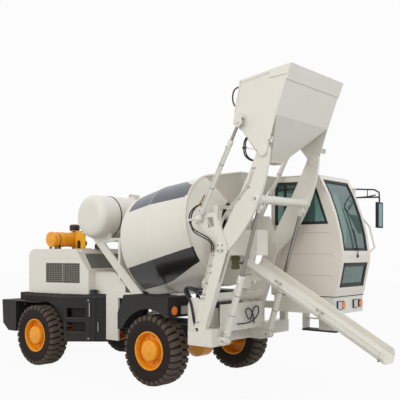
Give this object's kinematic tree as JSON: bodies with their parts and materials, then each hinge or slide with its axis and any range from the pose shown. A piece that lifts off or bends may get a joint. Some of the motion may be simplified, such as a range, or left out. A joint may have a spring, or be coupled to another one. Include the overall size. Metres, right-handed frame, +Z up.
{
  "type": "self-loading concrete mixer truck",
  "caption": "Self-loading concrete mixer truck: tilted mixing drum, offset cab, rear engine, and a loader bucket on two arms that feeds the drum through a hopper.",
  "frame": {"origin": "on the ground under the middle of the machine's overall box", "axes": "+X forward, +Y to the machine's left, +Z up"},
  "size_m": [8.09, 3.063, 4.852],
  "materials": {
    "cream_paint": "gloss",
    "charcoal_paint": "satin",
    "orange_paint": "gloss",
    "drum_paint": "satin",
    "tyre": "matte",
    "glass": "tinted",
    "lamp_glass": "gloss",
    "amber": "gloss",
    "chrome": "polished",
    "steel": "worn",
    "iron": "rough",
    "seat_cover": "matte",
    "black_plastic": "matte"
  },
  "bodies": {
    "machine_body": {"chassis_frame": "charcoal_paint", "front_frame": "charcoal_paint", "front_axle": "orange_paint", "rear_axle": "orange_paint", "tow_hitch": "charcoal_paint", "rear_bumper": "charcoal_paint", "rear_fenders": "charcoal_paint", "front_fenders": "charcoal_paint", "head_lamps": "lamp_glass", "indicator_lamps": "amber", "deck": "charcoal_paint", "engine_hood": "cream_paint", "hood_grilles": "steel", "engine_block": "iron", "side_box_right": "charcoal_paint", "side_box_left": "charcoal_paint", "air_cleaner": "orange_paint", "exhaust": "iron", "water_tank": "cream_paint", "tank_saddles": "cream_paint", "drum_pedestal": "cream_paint", "drum_gearbox": "iron", "drum_roller_stand": "charcoal_paint", "inlet_hopper": "cream_paint", "discharge_funnel": "cream_paint", "chute_post": "cream_paint", "cab_base": "charcoal_paint", "cab_shell": "cream_paint", "cab_glass": "glass", "cab_step": "charcoal_paint", "seat": "seat_cover", "steering_console": "black_plastic", "mirror": "black_plastic", "grab_rail": "cream_paint", "loader_mast": "cream_paint"},
    "steering_knuckle_left": {"knuckle_left": "orange_paint"},
    "steering_knuckle_right": {"knuckle_right": "orange_paint"},
    "wheel_front_left": {"rim_front_left": "orange_paint", "tyre_front_left": "tyre"},
    "wheel_front_right": {"rim_front_right": "orange_paint", "tyre_front_right": "tyre"},
    "wheel_rear_left": {"rim_rear_left": "orange_paint", "tyre_rear_left": "tyre"},
    "wheel_rear_right": {"rim_rear_right": "orange_paint", "tyre_rear_right": "tyre"},
    "mixing_drum": {"drum": "drum_paint"},
    "discharge_chute": {"chute": "cream_paint"},
    "left_cab_door": {"cab_door": "cream_paint", "door_glass": "glass"},
    "toolbox_door": {"side_box_door": "charcoal_paint"},
    "loader_arms": {"loader_arm": "cream_paint"},
    "arm_tip_pins": {"tip_pins": "steel"},
    "loader_bucket": {"bucket": "cream_paint"},
    "bucket_outlet_gate": {"bucket_gate": "cream_paint"},
    "lift_cylinder_barrels": {"lift_barrels": "cream_paint"},
    "lift_cylinder_rods": {"lift_rods": "chrome"},
    "mast_horn_pins": {"horn_pins": "steel"},
    "tilt_cylinder_barrels": {"tilt_barrels": "cream_paint"},
    "tilt_cylinder_rods": {"tilt_rods": "chrome"}
  },
  "joints": [
    {"name": "steer_left", "type": "hinge", "parent": "machine_body", "child": "steering_knuckle_left", "pos_m": [0.295, 0.7115, 0.59], "axis": [0, 0, 1], "range_deg": [-28, 28]},
    {"name": "steer_right", "type": "hinge", "parent": "machine_body", "child": "steering_knuckle_right", "pos_m": [0.295, -1.0885, 0.59], "axis": [0, 0, 1], "range_deg": [-28, 28]},
    {"name": "wheel_spin_front_left", "type": "hinge", "parent": "steering_knuckle_left", "child": "wheel_front_left", "pos_m": [0.295, 0.9485, 0.59], "axis": [0, 1, 0], "continuous": true},
    {"name": "wheel_spin_front_right", "type": "hinge", "parent": "steering_knuckle_right", "child": "wheel_front_right", "pos_m": [0.295, -1.3255, 0.59], "axis": [0, 1, 0], "continuous": true},
    {"name": "wheel_spin_rear_left", "type": "hinge", "parent": "machine_body", "child": "wheel_rear_left", "pos_m": [-2.805, 0.9485, 0.59], "axis": [0, 1, 0], "continuous": true},
    {"name": "wheel_spin_rear_right", "type": "hinge", "parent": "machine_body", "child": "wheel_rear_right", "pos_m": [-2.805, -1.3255, 0.59], "axis": [0, 1, 0], "continuous": true},
    {"name": "drum_spin", "type": "hinge", "parent": "machine_body", "child": "mixing_drum", "pos_m": [-0.068, -0.1885, 2.45], "axis": [0.9836, 0, 0.1805], "continuous": true},
    {"name": "chute_swing", "type": "hinge", "parent": "machine_body", "child": "discharge_chute", "pos_m": [1.73, -0.6635, 1.81], "axis": [0, 0, 1], "range_deg": [-30, 25]},
    {"name": "cab_door_hinge", "type": "hinge", "parent": "machine_body", "child": "left_cab_door", "pos_m": [2.587, 1.2575, 2.4], "axis": [0, 0, -1], "range_deg": [0, 75]},
    {"name": "side_box_door_hinge", "type": "hinge", "parent": "machine_body", "child": "toolbox_door", "pos_m": [-1.52309, -0.75587, 0.92], "axis": [0, 0, 1], "range_deg": [0, 75]},
    {"name": "arm_lift", "type": "hinge", "parent": "machine_body", "child": "loader_arms", "pos_m": [1.71, -0.6635, 2.279], "axis": [0, 1, 0], "range_deg": [0, 75]},
    {"name": "bucket_level", "type": "hinge", "parent": "loader_arms", "child": "arm_tip_pins", "pos_m": [2.476, -0.6635, 3.672], "axis": [0, 1, 0], "range_deg": [-75, 0]},
    {"name": "bucket_tilt", "type": "hinge", "parent": "arm_tip_pins", "child": "loader_bucket", "pos_m": [2.476, -0.6635, 3.672], "axis": [0, 1, 0], "range_deg": [0, 90]},
    {"name": "gate_hinge", "type": "hinge", "parent": "loader_bucket", "child": "bucket_outlet_gate", "pos_m": [2.072, -0.6635, 3.598], "axis": [0, 1, 0], "range_deg": [0, 60]},
    {"name": "lift_barrel_hinge", "type": "hinge", "parent": "machine_body", "child": "lift_cylinder_barrels", "pos_m": [1.692, -0.6635, 0.852], "axis": [0, 1, 0], "range_deg": [-5, 30]},
    {"name": "lift_rod_slide", "type": "slide", "parent": "lift_cylinder_barrels", "child": "lift_cylinder_rods", "axis": [0.2956, 0, 0.9553], "range_m": [-0.875, 0]},
    {"name": "horn_pin_hinge", "type": "hinge", "parent": "machine_body", "child": "mast_horn_pins", "pos_m": [1.335, -0.6635, 2.734], "axis": [0, 1, 0], "range_deg": [0, 75]},
    {"name": "tilt_barrel_hinge", "type": "hinge", "parent": "mast_horn_pins", "child": "tilt_cylinder_barrels", "pos_m": [1.335, -0.6635, 2.734], "axis": [0, 1, 0], "range_deg": [0, 30]},
    {"name": "tilt_rod_slide", "type": "slide", "parent": "tilt_cylinder_barrels", "child": "tilt_cylinder_rods", "axis": [0.4818, 0, 0.8763], "range_m": [0, 0.48]}
  ],
  "couplings": [
    {"joint": "steer_right", "follows": "steer_left", "ratio": 1},
    {"joint": "bucket_level", "follows": "arm_lift", "ratio": -1},
    {"joint": "lift_barrel_hinge", "follows": "arm_lift", "ratio": 0.2651},
    {"joint": "lift_rod_slide", "follows": "arm_lift", "m_per_rad": -0.666},
    {"joint": "horn_pin_hinge", "follows": "arm_lift", "ratio": 1},
    {"joint": "tilt_barrel_hinge", "follows": "bucket_tilt", "ratio": 0.2417},
    {"joint": "tilt_rod_slide", "follows": "bucket_tilt", "m_per_rad": 0.3036}
  ]
}
